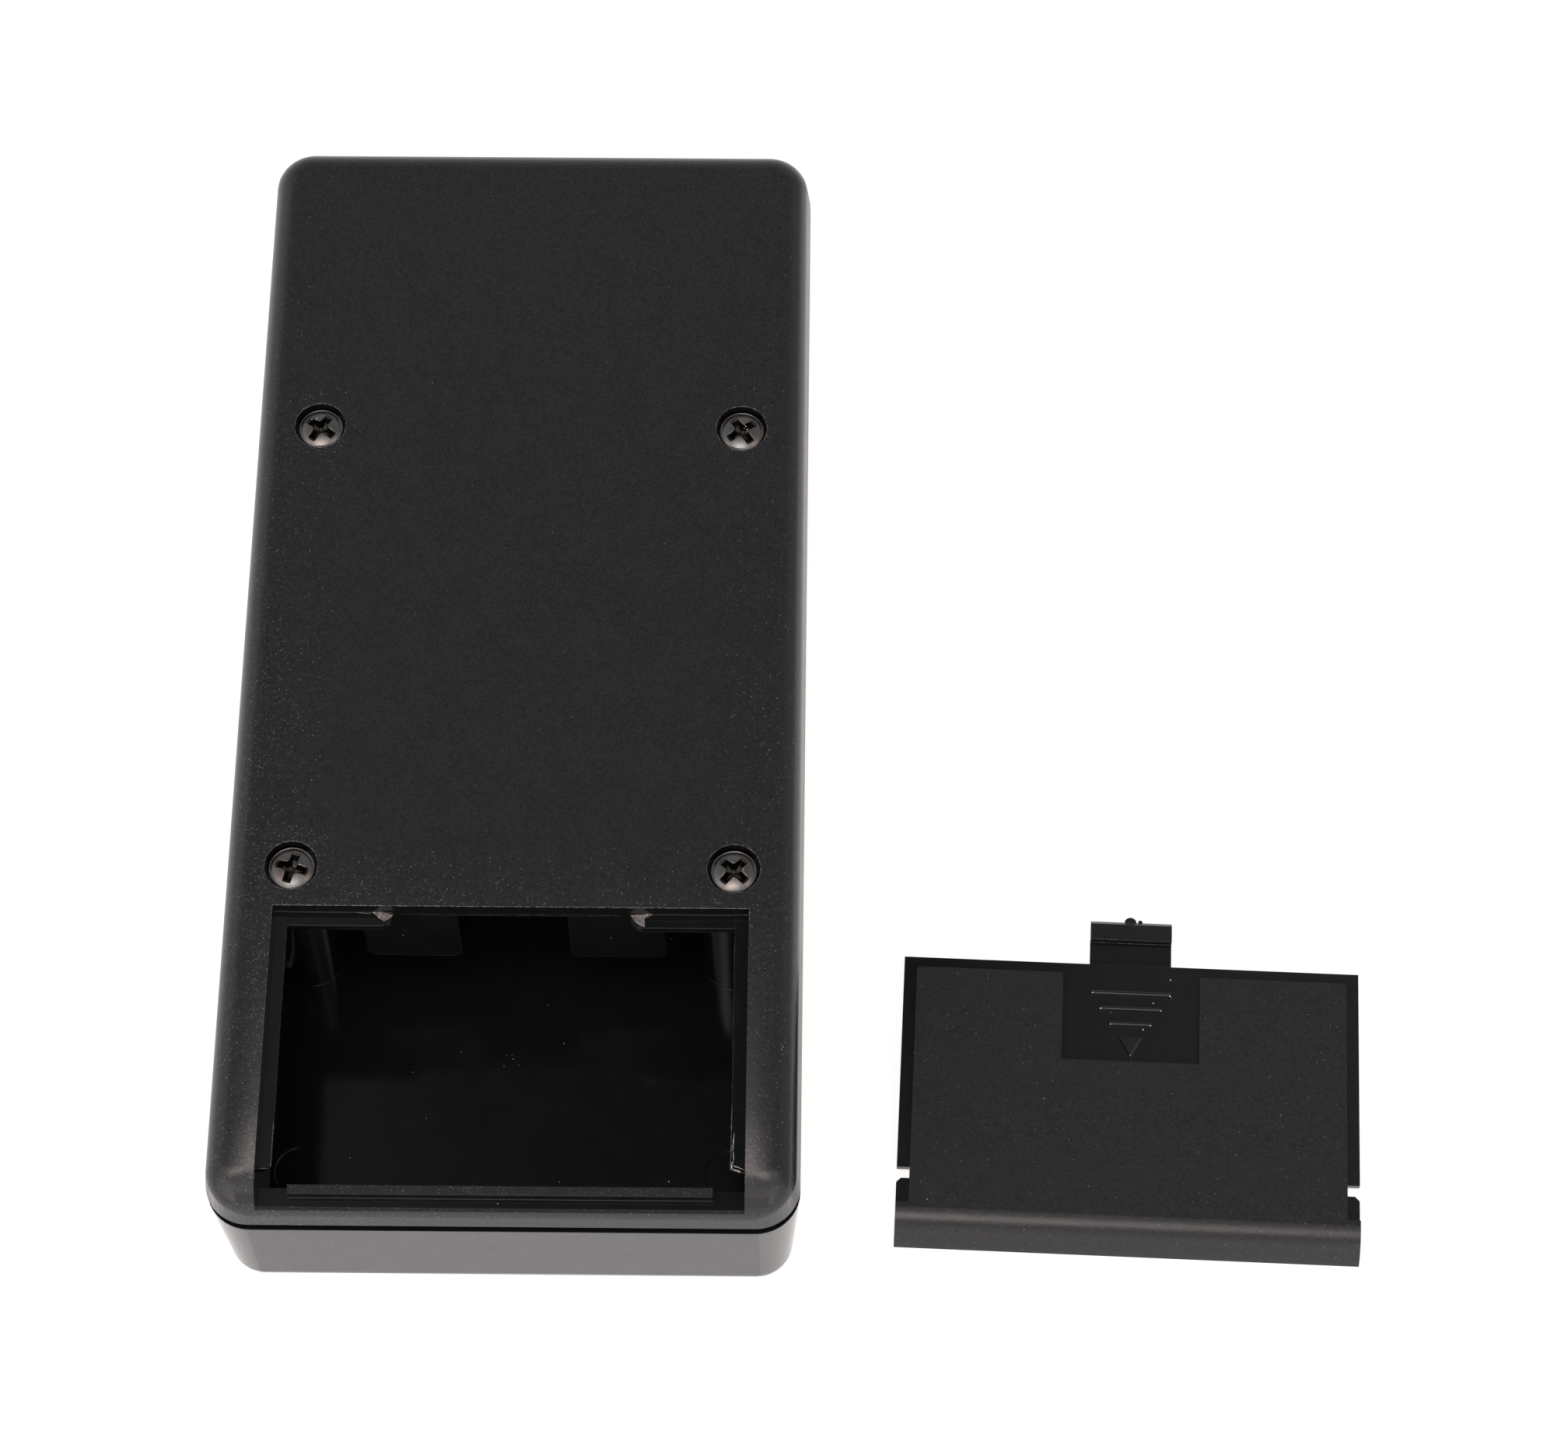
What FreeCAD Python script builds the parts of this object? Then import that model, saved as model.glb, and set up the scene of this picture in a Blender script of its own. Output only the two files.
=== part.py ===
import FreeCAD, Part
import math
import os
from FreeCAD import Rotation, Vector

# Handheld plastic enclosure lying on its front face, with its battery cover taken off beside it.
# Millimetres, +Z up. The origin is the centre of the front shell's resting face. +Y points to
# the end away from the battery bay, and +X points to the side where the cover lies.

# Case
case_width = 73.6
case_length = 155.4
front_height = 21.3
shadow_gap = 1.75
back_height = 6.55
corner_radius = 5.6
side_wall = 2.2
front_wall = 2.2
back_wall = 2.0
front_draft = 3.4
back_draft = 6.4
front_edge_radius = 4.3
back_edge_radius = 3.2
back_end_radius = 4.9
blend_steps = 9
front_inner_radius = 2.0
back_inner_radius = 1.0

# Locating lip of the back shell, which fills the shadow gap
lip_inset = 1.1
lip_thickness = 1.0
lip_depth = 2.0
lip_clearance = 0.1

# Case screws
screw_side_inset = 8.8
far_screw_inset = 44.85
near_screw_gap = 5.55
screw_turns = ((55.5, 35.5), (74.0, 47.5))
head_diameter = 5.75
head_height = 2.2
head_side_height = 1.3
head_depth = 0.05
counterbore_diameter = 6.75
shank_diameter = 2.5
screw_length = 16.0
tip_length = 1.5
recess_span = 4.3
recess_arm = 0.95
recess_depth = 1.5
recess_over = 0.3
recess_ease = 0.38
recess_floor_span = 2.4
recess_narrowing = 0.72

# Screw posts
post_radius = 4.6
post_joint_z = 19.0
clearance_hole = 3.2
pilot_clearance = 0.1
pilot_extra_depth = 1.5

# Battery opening in the back shell
opening_half_width = 30.03
end_bar_width = 3.5
well_length = 36.85
shelf_depth = 1.8
far_shelf_depth = 1.95
shelf_thickness = 1.1
side_shelf_width = 1.78
side_shelf_end_gap = 2.0
far_shelf_width = 1.92
far_shelf_inner_x = 15.0
far_shelf_tip_radius = 1.7
side_shelf_end_radius = 1.3
end_step_depth = 3.1
end_rib_half_length = 26.1
end_rib_thickness = 1.2
catch_depth = 0.8
catch_width = 3.6
bay_wall = 1.5
bay_floor_gap = 11.8
tab_inner_x = 7.0
tab_outer_x = 19.2
tab_thickness = 1.4
tab_corner_radius = 1.6
pin_mark_inset = 2.33
pin_mark_gap = 11.8
pin_mark_radius = 3.3
pin_mark_depth = 0.15

# Battery cover, drawn closed on the case
side_clearance = 0.3
far_clearance = 0.25
flange_thickness = 0.9
panel_raise = 0.8
panel_side_overhang = 1.66
panel_far_overhang = 1.65
notch_near_gap = 3.6
notch_length = 1.35
tab_drop = 0.35
tab_chamfer = 0.6
cover_lip_clearance = 0.1
cover_lip_thickness = 1.82
room_bevel = 0.6
recess_half_width = 8.9
thumb_recess_length = 14.05
panel_corner_radius = 0.5
grip_half_lengths = (5.3, 4.1, 2.9)
grip_first_gap = 4.3
grip_pitch = 2.15
grip_width = 0.6
grip_height = 0.45
arrow_half_width = 1.65
arrow_gap = 10.35
arrow_length = 3.1
arrow_height = 0.35
arrow_bevel = 0.28
tongue_half_width = 5.35
tongue_reach = 6.8
tongue_root = 2.5
tongue_top_depth = 2.9
tongue_thickness = 0.9
hook_length = 2.75
hook_height = 1.05
hook_bevel = 0.5
gate_stubs = ((-0.1, 0.8, 0.7), (1.2, 0.3, 0.35))

# Where the cover lies on the table
cover_turn = -2.06
cover_side_gap = 11.83
cover_near_inset = 5.22

# Sizes that follow
half_x = case_width / 2
half_y = case_length / 2
back_base_z = front_height + shadow_gap
case_height = back_base_z + back_height
well_near_y = -half_y + end_bar_width
opening_far_y = well_near_y + well_length
side_shelf_end_y = well_near_y + side_shelf_end_gap
screw_half_x = half_x - screw_side_inset
screw_rows = (half_y - far_screw_inset, opening_far_y + near_screw_gap)
shelf_z = case_height - shelf_depth
end_step_z = case_height - end_step_depth
bay_bottom_z = front_wall + bay_floor_gap
pin_mark_x = opening_half_width - pin_mark_inset
pin_mark_y = well_near_y + pin_mark_gap
counterbore_z = case_height - head_depth - head_height
cover_half_width = opening_half_width - side_clearance
panel_half_width = cover_half_width - panel_side_overhang
cover_far_y = opening_far_y - far_clearance
cover_lip_y = side_shelf_end_y + side_clearance
cover_thickness = flange_thickness + panel_raise
cover_lip_z = end_step_z + cover_lip_clearance
tongue_bottom_z = case_height - tongue_top_depth - tongue_thickness
tongue_end_y = cover_far_y + tongue_reach
thumb_recess_end_y = opening_far_y - thumb_recess_length
grip_first_y = opening_far_y - grip_first_gap
arrow_top_y = opening_far_y - arrow_gap
cover_shift_x = half_x + cover_side_gap + cover_half_width
cover_shift_y = -half_y + cover_near_inset
far_away = 2 * half_y


def box(x0, x1, y0, y1, z0, z1):
    """Box between two corners."""
    return Part.makeBox(x1 - x0, y1 - y0, z1 - z0, Vector(x0, y0, z0))


def pin(x, y, z0, z1, radius):
    """Upright cylinder."""
    return Part.makeCylinder(radius, z1 - z0, Vector(x, y, z0))


def both_sides(make):
    """Shapes made by a function for the -X side and the +X side."""
    return [make(-1), make(1)]


def outline(half_width, half_length, radius, z):
    """Rounded rectangle as a wire at height z."""
    a = half_width - radius
    b = half_length - radius
    edges = []
    for k, (x, y) in enumerate(((a, b), (-a, b), (-a, -b), (a, -b))):
        centre = Vector(x, y, z)
        arc = Part.Circle(centre, Vector(0, 0, 1), radius)
        edges.append(Part.Edge(arc, k * math.pi / 2, (k + 1) * math.pi / 2))
    straights = []
    for k in range(4):
        start = edges[k].Vertexes[-1].Point
        end = edges[(k + 1) % 4].Vertexes[0].Point
        straights.append(Part.makeLine(start, end))
    ring = [piece for pair in zip(edges, straights) for piece in pair]
    return Part.Wire(ring)


def edges_between(shape, z0, z1):
    """Edges that lie wholly between two heights."""
    slack = 1e-4
    return [e for e in shape.Edges if e.BoundBox.ZMin > z0 - slack and e.BoundBox.ZMax < z1 + slack]


def upright_edges_at(shape, points):
    """Upright edges through the given x, y points."""
    found = []
    for e in shape.Edges:
        if e.BoundBox.XLength + e.BoundBox.YLength > 1e-3:
            continue
        middle = e.CenterOfMass
        if any(math.hypot(middle.x - x, middle.y - y) < 1e-3 for x, y in points):
            found.append(e)
    return found


def rim_profile(radius, height, draft, edge_radius, inner=0.0):
    """Face in the XZ plane from x = inner out to a leaning side with a rounded upper edge."""
    lean = math.radians(draft)
    zc = height - edge_radius
    xc = radius - (edge_radius + zc * math.sin(lean)) / math.cos(lean)
    middle = (lean + math.pi / 2) / 2
    start = Vector(xc + edge_radius * math.cos(lean), 0, zc + edge_radius * math.sin(lean))
    through = Vector(xc + edge_radius * math.cos(middle), 0, zc + edge_radius * math.sin(middle))
    end = Vector(xc, 0, height)
    sides = Part.makePolygon([end, Vector(inner, 0, height), Vector(inner, 0, 0), Vector(radius, 0, 0),
                              start])
    return Part.Face(Part.Wire(sides.Edges + [Part.Arc(start, through, end).toShape()]))


def eased_corner(corner, radius, height, draft, edge_radius, end_radius, end_first):
    """Corner block whose upper rounding grows towards the near end, cut to a fan of straight roundings."""
    for step in range(blend_steps):
        turn = 90 * step / blend_steps
        growth = 1 - math.sin(math.radians(turn))
        rounding = edge_radius + (end_radius - edge_radius) * growth
        slab = rim_profile(radius, height, draft, rounding, -radius).extrude(Vector(0, 4 * radius, 0))
        slab.translate(Vector(0, -2 * radius, 0))
        slab.rotate(Vector(0, 0, 0), Vector(0, 0, 1), turn if end_first else 90 - turn)
        corner = corner.common(slab)
    return corner


def drafted_block(inset, height, draft, edge_radius, end_radius=None):
    """Block from the parting outline at z = 0 to a rounded face at z = height."""
    radius = corner_radius - inset
    a = half_x - corner_radius
    b = half_y - corner_radius
    profile = rim_profile(radius, height, draft, edge_radius)
    end_profile = rim_profile(radius, height, draft, end_radius or edge_radius)
    pieces = [box(-a, a, -b, b, 0, height)]
    for k in range(4):
        reach, half = (a, b) if k % 2 == 0 else (b, a)
        side = (end_profile if k == 3 else profile).extrude(Vector(0, 2 * half, 0))
        side.translate(Vector(reach, -half, 0))
        corner = profile.revolve(Vector(0, 0, 0), Vector(0, 0, 1), 90)
        if end_radius and k >= 2:
            corner = eased_corner(corner, radius, height, draft, edge_radius, end_radius, k == 3)
        corner.translate(Vector(reach, half, 0))
        for piece in (side, corner):
            piece.rotate(Vector(0, 0, 0), Vector(0, 0, 1), 90 * k)
            pieces.append(piece)
    return pieces[0].fuse(pieces[1:]).removeSplitter()


def prism(inset, z0, z1):
    """Upright block on the parting outline moved in by an inset."""
    wire = outline(half_x - inset, half_y - inset, corner_radius - inset, z0)
    return Part.Face(wire).extrude(Vector(0, 0, z1 - z0))


def turned_over(shape, z):
    """A block made with its parting outline at z = 0, turned to face down from height z."""
    shape.rotate(Vector(0, 0, 0), Vector(1, 0, 0), 180)
    shape.translate(Vector(0, 0, z))
    return shape


def lifted(shape, z):
    """A shape moved up by z."""
    shape.translate(Vector(0, 0, z))
    return shape


def screw_places():
    """x, y and turn of each case screw."""
    places = []
    for y, turns in zip(screw_rows, screw_turns):
        for x, turn in zip((-screw_half_x, screw_half_x), turns):
            places.append((x, y, turn))
    return places


def front_shell():
    """Deep tub that rests on its outer face."""
    shell = turned_over(drafted_block(0, front_height, front_draft, front_edge_radius), front_height)
    depth = front_height - front_wall
    cavity = turned_over(drafted_block(side_wall, depth, front_draft, front_inner_radius), front_height)
    shell = shell.cut(cavity)
    rebate_z = front_height - lip_depth - lip_clearance
    shell = shell.cut(prism(lip_inset - lip_clearance, rebate_z, front_height))
    posts = [pin(x, y, front_wall / 2, post_joint_z, post_radius) for x, y, turn in screw_places()]
    shell = shell.fuse(posts)
    hole_radius = shank_diameter / 2 + pilot_clearance
    hole_z = counterbore_z - screw_length - pilot_extra_depth
    holes = [pin(x, y, hole_z, post_joint_z, hole_radius) for x, y, turn in screw_places()]
    marks = both_sides(pin_mark)
    return shell.cut(holes + marks).removeSplitter()


def pin_mark(side):
    """Shallow round ejector mark in the tub's floor."""
    return pin(side * pin_mark_x, pin_mark_y, front_wall - pin_mark_depth, front_wall, pin_mark_radius)


def locating_lip():
    """Ring under the back shell that stands in the front shell's rebate."""
    bottom = front_height - lip_depth
    outer = prism(lip_inset, bottom, back_base_z + side_wall / 2)
    inner = prism(lip_inset + lip_thickness, bottom, back_base_z + side_wall / 2)
    return outer.cut(inner)


def far_shelf(side):
    """Shelf along the far edge of the opening, round at its inner tip."""
    top = case_height - far_shelf_depth
    x0, x1 = sorted((side * far_shelf_inner_x, side * (opening_half_width + bay_wall / 2)))
    y0 = opening_far_y - far_shelf_width
    shelf = box(x0, x1, y0, opening_far_y + bay_wall / 2, top - shelf_thickness, top)
    tip = upright_edges_at(shelf, [(side * far_shelf_inner_x, y0)])
    return shelf.makeFillet(far_shelf_tip_radius, tip)


def side_shelf(side):
    """Shelf along one side of the opening, round at its near end."""
    inner = opening_half_width - side_shelf_width
    x0, x1 = sorted((side * inner, side * (opening_half_width + bay_wall / 2)))
    y1 = opening_far_y + bay_wall / 2
    shelf = box(x0, x1, side_shelf_end_y, y1, shelf_z - shelf_thickness, shelf_z)
    tip = upright_edges_at(shelf, [(side * inner, side_shelf_end_y)])
    return shelf.makeFillet(side_shelf_end_radius, tip)


def side_bay_wall(side):
    """Wall that hangs from the back beside the battery."""
    x0, x1 = sorted((side * opening_half_width, side * (opening_half_width + bay_wall)))
    near = well_near_y - bay_wall / 10
    return box(x0, x1, near, opening_far_y, bay_bottom_z, case_height - back_wall / 2)


def partition_tab(side):
    """Tab that hangs from the back at the far end of the bay, with round lower corners."""
    x0, x1 = sorted((side * tab_inner_x, side * tab_outer_x))
    y1 = opening_far_y + tab_thickness + far_clearance
    tab = box(x0, x1, y1 - tab_thickness, y1, bay_bottom_z, case_height - back_wall / 2)
    low = [e for e in edges_between(tab, bay_bottom_z, bay_bottom_z) if e.BoundBox.YLength > 1e-3]
    return tab.makeFillet(tab_corner_radius, low)


def battery_opening():
    """Everything that the battery opening removes from the back and the near end."""
    w = opening_half_width
    rim = box(-w, w, -far_away, opening_far_y, end_step_z, case_height + back_wall)
    well = box(-w, w, well_near_y, opening_far_y, bay_bottom_z - back_wall, case_height)
    return rim.fuse(well)


def back_outside():
    """Solid block with the outer shape of the back shell."""
    block = drafted_block(0, back_height, back_draft, back_edge_radius, back_end_radius)
    return lifted(block, back_base_z)


def back_shell():
    """Shallow lid with the screw counterbores and the battery opening."""
    outer = back_outside()
    hollow_height = back_height - back_wall
    hollow = lifted(drafted_block(side_wall, hollow_height, back_draft, back_inner_radius), back_base_z)
    under_back = case_height - back_wall
    end_bar = box(-opening_half_width - bay_wall, opening_half_width + bay_wall,
                  -half_y + side_wall / 2, well_near_y, back_base_z, under_back + back_wall / 2)
    end_bar = end_bar.common(outer)
    catch = box(-far_shelf_inner_x, far_shelf_inner_x, opening_far_y, opening_far_y + catch_width,
                under_back - catch_depth, case_height - back_wall / 2)
    posts = [pin(x, y, post_joint_z, case_height - back_wall / 2, post_radius)
             for x, y, turn in screw_places()]
    shell = outer.cut(hollow)
    shell = shell.fuse(posts + [locating_lip(), end_bar, catch] + both_sides(partition_tab))
    shell = shell.fuse(both_sides(side_bay_wall))
    shell = shell.cut(battery_opening())
    rib = box(-end_rib_half_length, end_rib_half_length, well_near_y - end_rib_thickness, well_near_y,
              end_step_z - back_wall / 2, shelf_z)
    shell = shell.fuse(both_sides(far_shelf) + both_sides(side_shelf) + [rib])
    for x, y, turn in screw_places():
        shell = shell.cut(pin(x, y, counterbore_z, case_height + back_wall, counterbore_diameter / 2))
        shell = shell.cut(pin(x, y, post_joint_z, counterbore_z, clearance_hole / 2))
    return shell.removeSplitter()


def cross_outline(span, arm, z):
    """Outline of a cross with eased inner corners."""
    a, s, ease = arm / 2, span / 2, recess_ease
    quarter = [(s, -a), (s, a), (a + ease, a), (a + 0.3 * ease, a + 0.3 * ease), (a, a + ease)]
    points = []
    for k in range(4):
        turn = Rotation(Vector(0, 0, 1), 90 * k)
        points += [turn.multVec(Vector(x, y, z)) for x, y in quarter]
    return Part.makePolygon(points + points[:1])


def cross_recess():
    """Cross recess that narrows towards its floor, cut a little over z = 0."""
    top = cross_outline(recess_span, recess_arm, recess_over)
    floor = cross_outline(recess_floor_span, recess_arm * recess_narrowing, -recess_depth)
    return Part.makeLoft([top, floor], True, True)


def case_screw(x, y, turn):
    """Domed cross-recess screw that stands on its counterbore floor."""
    r = head_diameter / 2
    top = head_height
    rise = head_height - head_side_height
    dome = Part.Arc(Vector(r, 0, head_side_height),
                    Vector(0.55 * r, 0, head_side_height + 0.80 * rise), Vector(0, 0, top)).toShape()
    core = shank_diameter / 2
    corners = [Vector(0, 0, top), Vector(0, 0, -screw_length), Vector(core / 3, 0, -screw_length),
               Vector(core, 0, -screw_length + tip_length), Vector(core, 0, 0), Vector(r, 0, 0),
               Vector(r, 0, head_side_height)]
    profile = Part.Wire(Part.makePolygon(corners).Edges + [dome])
    screw = Part.Face(profile).revolve(Vector(0, 0, 0), Vector(0, 0, 1), 360)
    recess = lifted(cross_recess(), top)
    recess.rotate(Vector(0, 0, 0), Vector(0, 0, 1), turn)
    screw = screw.cut(recess)
    screw.translate(Vector(x, y, counterbore_z))
    return screw


def case_screws():
    """The four screws as one group of separate solids."""
    return Part.makeCompound([case_screw(x, y, turn) for x, y, turn in screw_places()])


def cover_end():
    """The cover's end, which follows the back shell's rounding and leaves room for the rib."""
    outer = back_outside()
    w = cover_half_width
    block = box(-w, w, -far_away, cover_lip_y, cover_lip_z, case_height).common(outer)
    room_z = case_height - cover_thickness
    wall_y = -half_y + cover_lip_thickness
    room = box(-far_away, far_away, wall_y, cover_lip_y + side_wall, cover_lip_z - back_wall, room_z)
    corner = [e for e in edges_between(room, room_z, room_z) if e.BoundBox.YMax < wall_y + 1e-3]
    return block.cut(room.makeChamfer(room_bevel, corner))


def cover_panel():
    """Raised panel with the thumb recess cut from its far edge."""
    top = case_height
    far_y = cover_far_y - panel_far_overhang
    low = top - cover_thickness
    panel = box(-panel_half_width, panel_half_width, cover_lip_y, far_y, low, top)
    corners = [(side * panel_half_width, far_y) for side in (-1, 1)]
    panel = panel.makeFillet(panel_corner_radius, upright_edges_at(panel, corners))
    recess = box(-recess_half_width, recess_half_width, thumb_recess_end_y, 0,
                 top - panel_raise, top + back_wall)
    return panel.cut(recess)


def flange_strip():
    """Thin flange that lies on the shelves, with its side notches."""
    low = case_height - cover_thickness
    top = low + flange_thickness
    near_y = cover_lip_y + notch_near_gap
    w = cover_half_width
    return box(-w, w, near_y + notch_length, cover_far_y, low, top)


def side_tab(side):
    """Small tab between the notch and the cover's end, with a cut outer corner."""
    low = case_height - cover_thickness
    top = low + flange_thickness - tab_drop
    inner, outer = panel_half_width - panel_raise, cover_half_width
    x0, x1 = sorted((side * inner, side * outer))
    y1 = cover_lip_y + notch_near_gap
    tab = box(x0, x1, cover_lip_y - side_wall / 4, y1, low, top)
    return tab.makeChamfer(tab_chamfer, upright_edges_at(tab, [(side * outer, y1)]))


def grip_rib(half_length, y):
    """Rounded rib across the thumb recess."""
    z = case_height - panel_raise
    r = grip_width / 2
    rib = box(-half_length, half_length, y - r, y + r, z - flange_thickness / 2, z + grip_height)
    crown = [e for e in edges_between(rib, z + grip_height, z + grip_height)]
    return rib.makeFillet(r * 0.8, crown)


def arrow():
    """Raised triangle that points to the near end."""
    z = case_height - panel_raise
    points = [Vector(-arrow_half_width, arrow_top_y, z), Vector(arrow_half_width, arrow_top_y, z),
              Vector(0, arrow_top_y - arrow_length, z), Vector(-arrow_half_width, arrow_top_y, z)]
    block = Part.Face(Part.makePolygon(points)).extrude(Vector(0, 0, arrow_height))
    return block.makeChamfer(arrow_bevel, edges_between(block, z + arrow_height, z + arrow_height))


def latch_tongue():
    """Springy strap under the far edge, with the hook bar and its small gate stubs."""
    w = tongue_half_width
    top = case_height - tongue_top_depth
    strap = box(-w, w, cover_far_y - tongue_root, tongue_end_y, tongue_bottom_z, top)
    root = box(-w, w, cover_far_y - tongue_root, cover_far_y, tongue_bottom_z,
               case_height - cover_thickness + flange_thickness / 2)
    hook_y = tongue_end_y - hook_length
    hook = box(-w, w, hook_y, tongue_end_y, tongue_bottom_z, top + hook_height)
    lead = [e for e in edges_between(hook, top + hook_height, top + hook_height)
            if e.BoundBox.XLength > w and e.CenterOfMass.y > hook_y + hook_length / 2]
    hook = hook.makeChamfer(hook_bevel, lead)
    stubs = []
    for x, radius, reach in gate_stubs:
        stub = pin(x, tongue_end_y - radius + reach, top, top + hook_height * 0.6, radius)
        stubs.append(stub)
    return strap.fuse([root, hook] + stubs)


def lay_on_table(cover):
    """Tip the closed cover so that its end lip and its tongue's root rest on z = 0, then place it."""
    lip_y = -half_y + math.tan(math.radians(back_draft)) * (cover_lip_z - back_base_z)
    drop = cover_lip_z - tongue_bottom_z
    reach = cover_far_y - tongue_root - lip_y
    tip = math.degrees(math.atan(drop / reach))
    cover.translate(Vector(0, -lip_y, -cover_lip_z))
    cover.rotate(Vector(0, 0, 0), Vector(1, 0, 0), tip)
    cover.rotate(Vector(0, 0, 0), Vector(0, 0, 1), cover_turn)
    cover.translate(Vector(cover_shift_x, cover_shift_y, 0))
    return cover


def battery_cover():
    """One-piece cover, drawn closed and then laid beside the case with its outer face up."""
    grips = [grip_rib(half, grip_first_y - k * grip_pitch) for k, half in enumerate(grip_half_lengths)]
    parts = [cover_panel(), flange_strip()] + both_sides(side_tab) + grips + [arrow(), latch_tongue()]
    return lay_on_table(cover_end().fuse(parts).removeSplitter())


def main():
    """Write one STEP file per node."""
    os.makedirs("parts", exist_ok=True)
    nodes = {
        "front_shell": front_shell(),
        "back_shell": back_shell(),
        "case_screws": case_screws(),
        "battery_cover": battery_cover(),
    }
    for name, shape in nodes.items():
        shape.exportStep("parts/" + name + ".step")
        box_ = shape.BoundBox
        print(name, "solids", len(shape.Solids), "valid", shape.isValid(), "volume", round(shape.Volume),
              "x %.2f %.2f y %.2f %.2f z %.2f %.2f" % (box_.XMin, box_.XMax, box_.YMin, box_.YMax,
                                                      box_.ZMin, box_.ZMax))


main()
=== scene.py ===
import math
import random
import bmesh
import bpy
from mathutils import Matrix, Vector


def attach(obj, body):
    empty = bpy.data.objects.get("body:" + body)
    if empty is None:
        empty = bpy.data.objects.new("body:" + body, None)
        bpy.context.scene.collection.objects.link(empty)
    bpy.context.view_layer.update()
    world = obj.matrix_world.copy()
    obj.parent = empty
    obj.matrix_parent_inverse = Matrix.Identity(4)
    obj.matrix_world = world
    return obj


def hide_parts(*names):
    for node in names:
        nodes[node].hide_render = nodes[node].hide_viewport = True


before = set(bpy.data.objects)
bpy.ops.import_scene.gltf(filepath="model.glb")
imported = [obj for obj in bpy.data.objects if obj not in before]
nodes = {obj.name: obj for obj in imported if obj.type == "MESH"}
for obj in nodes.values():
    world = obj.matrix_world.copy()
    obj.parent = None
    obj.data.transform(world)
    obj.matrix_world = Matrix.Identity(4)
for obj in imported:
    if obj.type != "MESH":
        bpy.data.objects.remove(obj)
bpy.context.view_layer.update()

mm = 0.001
print("frame loaded:", ", ".join(sorted(nodes)))


# Short ways to build node trees

def addNode(tree, kind, inputs=None, **settings):
    made = tree.nodes.new(kind)
    for key, value in settings.items():
        setattr(made, key, value)
    for key, value in (inputs or {}).items():
        if isinstance(value, bpy.types.NodeSocket):
            tree.links.new(value, made.inputs[key])
        else:
            made.inputs[key].default_value = value
    return made


def maths(tree, operation, a, b=0.0, c=0.0):
    return addNode(tree, "ShaderNodeMath", {0: a, 1: b, 2: c}, operation=operation).outputs[0]


def product(tree, first, *others):
    for other in others:
        first = maths(tree, "MULTIPLY", first, other)
    return first


def vectorMaths(tree, operation, a, b=(0.0, 0.0, 0.0)):
    made = addNode(tree, "ShaderNodeVectorMath", {0: a, 1: b}, operation=operation)
    return made.outputs["Value" if operation in ("DISTANCE", "DOT_PRODUCT") else "Vector"]


def ramp(tree, value, low, high, toLow=0.0, toHigh=1.0):
    made = addNode(tree, "ShaderNodeMapRange", {"Value": value, "From Min": low, "From Max": high,
                                                "To Min": toLow, "To Max": toHigh}, clamp=True)
    return made.outputs["Result"]


def mixColour(tree, factor, a, b):
    made = addNode(tree, "ShaderNodeMix", data_type="RGBA")
    for socket, value in ((made.inputs[0], factor), (made.inputs[6], a), (made.inputs[7], b)):
        if isinstance(value, bpy.types.NodeSocket):
            tree.links.new(value, socket)
        else:
            socket.default_value = value
    return made.outputs[2]


def noise(tree, position, size, detail=2.0, roughness=0.5):
    made = addNode(tree, "ShaderNodeTexNoise", {"Vector": position, "Scale": 1 / size, "Detail": detail,
                                                "Roughness": roughness})
    return made.outputs["Fac"]


def grey(value):
    return (value, value, value, 1.0)


def splitVector(tree, vector):
    return addNode(tree, "ShaderNodeSeparateXYZ", {0: vector}).outputs


def joinVector(tree, x=0.0, y=0.0, z=0.0):
    return addNode(tree, "ShaderNodeCombineXYZ", {0: x, 1: y, 2: z}).outputs[0]


def turnedVector(tree, vector, turn):
    return addNode(tree, "ShaderNodeMapping", {"Vector": vector, "Rotation": turn}).outputs[0]


def insideBox(tree, position, low, high):  # 1 between two corners, 0 outside
    above = vectorMaths(tree, "SUBTRACT", position, low)
    below = vectorMaths(tree, "SUBTRACT", high, position)
    x, y, z = splitVector(tree, vectorMaths(tree, "MINIMUM", above, below))
    return maths(tree, "GREATER_THAN", maths(tree, "MINIMUM", maths(tree, "MINIMUM", x, y), z), 0.0)


def fillRamp(node, stops):
    elements = node.color_ramp.elements
    for k, (share, colour) in enumerate(stops):
        stop = elements[k] if k < 2 else elements.new(share)
        stop.position = share
        stop.color = colour + (1.0,)


def newMaterial(name, **values):
    material = bpy.data.materials.new(name)
    material.use_nodes = True
    tree = material.node_tree
    shader = tree.nodes["Principled BSDF"]
    for key, value in values.items():
        shader.inputs[key].default_value = value
    position = addNode(tree, "ShaderNodeTexCoord").outputs["Object"]
    return material, tree, shader, position


def dress(obj, material):
    if not obj.material_slots:
        obj.data.materials.append(material)
    for held in obj.material_slots:
        held.material = material


def putInScene(name, data):
    made = bpy.data.objects.new(name, data)
    bpy.context.scene.collection.objects.link(made)
    return made


# Short ways to build a node group and to take its plain mesh

def newGroup(name, inputs):
    tree = bpy.data.node_groups.new(name, "GeometryNodeTree")
    for label, kind in (("Geometry", "NodeSocketGeometry"),) + inputs:
        tree.interface.new_socket(label, in_out="INPUT", socket_type=kind)
    tree.interface.new_socket("Geometry", in_out="OUTPUT", socket_type="NodeSocketGeometry")
    return tree, addNode(tree, "NodeGroupInput").outputs


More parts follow.
